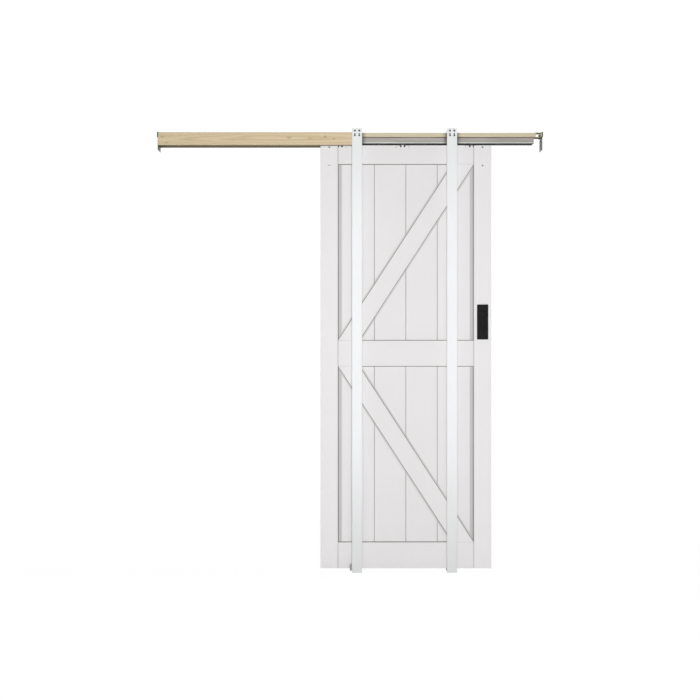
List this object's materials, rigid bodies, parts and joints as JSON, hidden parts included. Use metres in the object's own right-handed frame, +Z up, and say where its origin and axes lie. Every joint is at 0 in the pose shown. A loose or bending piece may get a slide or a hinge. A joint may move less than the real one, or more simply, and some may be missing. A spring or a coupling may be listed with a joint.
{
  "type": "pocket door",
  "caption": "Sliding pocket door leaf with panels and diagonal braces, hung by wheeled trolleys in the track of its header and split-stud frame kit.",
  "frame": {"origin": "on the floor, halfway along the header and halfway through the frame's depth", "axes": "+X along the header from the doorway to the pocket, +Y from the front to the back, +Z up"},
  "size_m": [1.942, 0.089, 2.236],
  "materials": {
    "painted_wood": "satin white paint",
    "pine": "planed",
    "white_steel": "satin",
    "zinc_steel": "zinc plated",
    "bright_steel": "plated",
    "cast_zinc": "as cast",
    "track_aluminium": "mill",
    "black_metal": "matt black",
    "grey_plastic": "moulded",
    "nylon": "moulded",
    "rubber": "moulded"
  },
  "bodies": {
    "frame": {"door_guide_back": "grey_plastic", "door_guide_front": "grey_plastic", "entry_floor_plate": "zinc_steel", "entry_stud_back": "white_steel", "entry_stud_front": "white_steel", "guide_screws": "bright_steel", "header_board": "pine", "header_nailer_back": "pine", "header_nailer_front": "pine", "left_end_bracket": "zinc_steel", "left_track_stop": "nylon", "mid_floor_plate": "zinc_steel", "mid_stud_back": "white_steel", "mid_stud_front": "white_steel", "nailer_nails": "bright_steel", "right_end_bracket": "zinc_steel", "right_track_stop": "nylon", "stop_bumpers": "rubber", "stop_screws": "bright_steel", "stud_screws": "bright_steel", "track": "track_aluminium", "track_screws": "bright_steel"},
    "leaf": {"bottom_rail": "painted_wood", "flush_pull_back": "black_metal", "flush_pull_front": "black_metal", "flush_pull_screws": "black_metal", "hanger_screws": "bright_steel", "left_hanger_bolt": "bright_steel", "left_hanger_lock": "grey_plastic", "left_hanger_plate": "zinc_steel", "left_stile": "painted_wood", "left_trolley": "cast_zinc", "left_trolley_axles": "bright_steel", "lower_brace_back": "painted_wood", "lower_brace_front": "painted_wood", "lower_panel": "painted_wood", "middle_hanger_bolt": "bright_steel", "middle_hanger_lock": "grey_plastic", "middle_hanger_plate": "zinc_steel", "middle_rail": "painted_wood", "middle_trolley": "cast_zinc", "middle_trolley_axles": "bright_steel", "right_hanger_bolt": "bright_steel", "right_hanger_lock": "grey_plastic", "right_hanger_plate": "zinc_steel", "right_stile": "painted_wood", "right_trolley": "cast_zinc", "right_trolley_axles": "bright_steel", "top_rail": "painted_wood", "upper_brace_back": "painted_wood", "upper_brace_front": "painted_wood", "upper_panel": "painted_wood"},
    "left_wheels_a": {"left_trolley_wheels_a": "nylon"},
    "left_wheels_b": {"left_trolley_wheels_b": "nylon"},
    "middle_wheels_a": {"middle_trolley_wheels_a": "nylon"},
    "middle_wheels_b": {"middle_trolley_wheels_b": "nylon"},
    "right_wheels_a": {"right_trolley_wheels_a": "nylon"},
    "right_wheels_b": {"right_trolley_wheels_b": "nylon"}
  },
  "joints": [
    {"name": "leaf_slide", "type": "slide", "parent": "frame", "child": "leaf", "axis": [1, 0, 0], "range_m": [-0.6533, 0.1595]},
    {"name": "left_wheel_roll_a", "type": "hinge", "parent": "leaf", "child": "left_wheels_a", "pos_m": [-0.07, 0, 2.1779], "axis": [0, 1, 0], "continuous": true},
    {"name": "left_wheel_roll_b", "type": "hinge", "parent": "leaf", "child": "left_wheels_b", "pos_m": [-0.03, 0, 2.1779], "axis": [0, 1, 0], "continuous": true},
    {"name": "middle_wheel_roll_a", "type": "hinge", "parent": "leaf", "child": "middle_wheels_a", "pos_m": [0.2463, 0, 2.1779], "axis": [0, 1, 0], "continuous": true},
    {"name": "middle_wheel_roll_b", "type": "hinge", "parent": "leaf", "child": "middle_wheels_b", "pos_m": [0.2863, 0, 2.1779], "axis": [0, 1, 0], "continuous": true},
    {"name": "right_wheel_roll_a", "type": "hinge", "parent": "leaf", "child": "right_wheels_a", "pos_m": [0.5946, 0, 2.1779], "axis": [0, 1, 0], "continuous": true},
    {"name": "right_wheel_roll_b", "type": "hinge", "parent": "leaf", "child": "right_wheels_b", "pos_m": [0.6346, 0, 2.1779], "axis": [0, 1, 0], "continuous": true}
  ],
  "couplings": [
    {"joint": "left_wheel_roll_a", "follows": "leaf_slide", "rad_per_m": 100},
    {"joint": "left_wheel_roll_b", "follows": "leaf_slide", "rad_per_m": 100},
    {"joint": "middle_wheel_roll_a", "follows": "leaf_slide", "rad_per_m": 100},
    {"joint": "middle_wheel_roll_b", "follows": "leaf_slide", "rad_per_m": 100},
    {"joint": "right_wheel_roll_a", "follows": "leaf_slide", "rad_per_m": 100},
    {"joint": "right_wheel_roll_b", "follows": "leaf_slide", "rad_per_m": 100}
  ]
}
